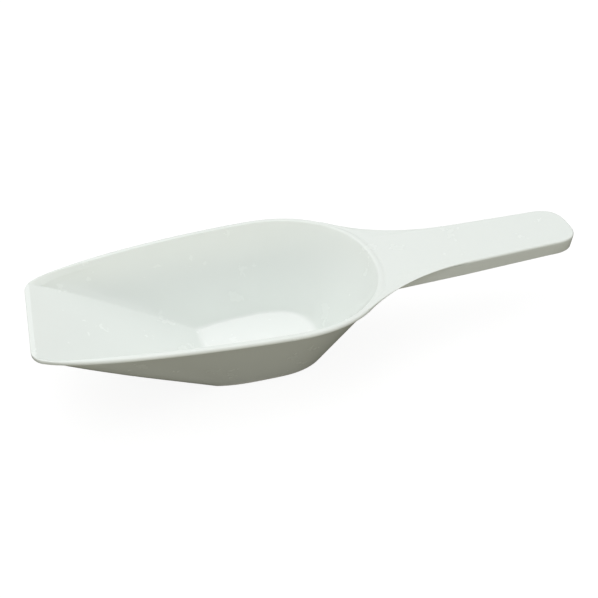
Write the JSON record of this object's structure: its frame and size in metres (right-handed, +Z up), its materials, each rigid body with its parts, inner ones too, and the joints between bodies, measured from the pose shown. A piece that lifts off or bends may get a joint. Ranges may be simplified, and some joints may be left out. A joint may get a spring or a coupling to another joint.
{
  "type": "ice scoop",
  "caption": "Rigid plastic hand scoop: boat-shaped bowl with a flat base, a sloping front ramp, a straight pouring lip and a flat handle that is hollow underneath.",
  "frame": {"origin": "middle of the flat base's underside", "axes": "+X from the pouring lip towards the handle's end, +Y to the left when looking from the lip towards the handle, +Z up; left and right in the node names are seen that way"},
  "size_m": [0.3, 0.104, 0.0502],
  "materials": {
    "moulding": "white polypropylene, smooth, soft gloss"
  },
  "bodies": {
    "root": {"base_floor": "moulding", "front_ramp": "moulding", "side_wall_left": "moulding", "side_wall_right": "moulding", "rear_wall": "moulding", "pouring_lip": "moulding", "rim_left": "moulding", "rim_right": "moulding", "rim_rear": "moulding", "yoke_plate": "moulding", "yoke_wing_left": "moulding", "yoke_wing_right": "moulding", "yoke_web_left": "moulding", "yoke_web_right": "moulding", "grip_plate": "moulding", "grip_skirt_left": "moulding", "grip_skirt_right": "moulding", "grip_skirt_end": "moulding", "spine_rib": "moulding", "cross_ribs": "moulding"}
  },
  "joints": []
}
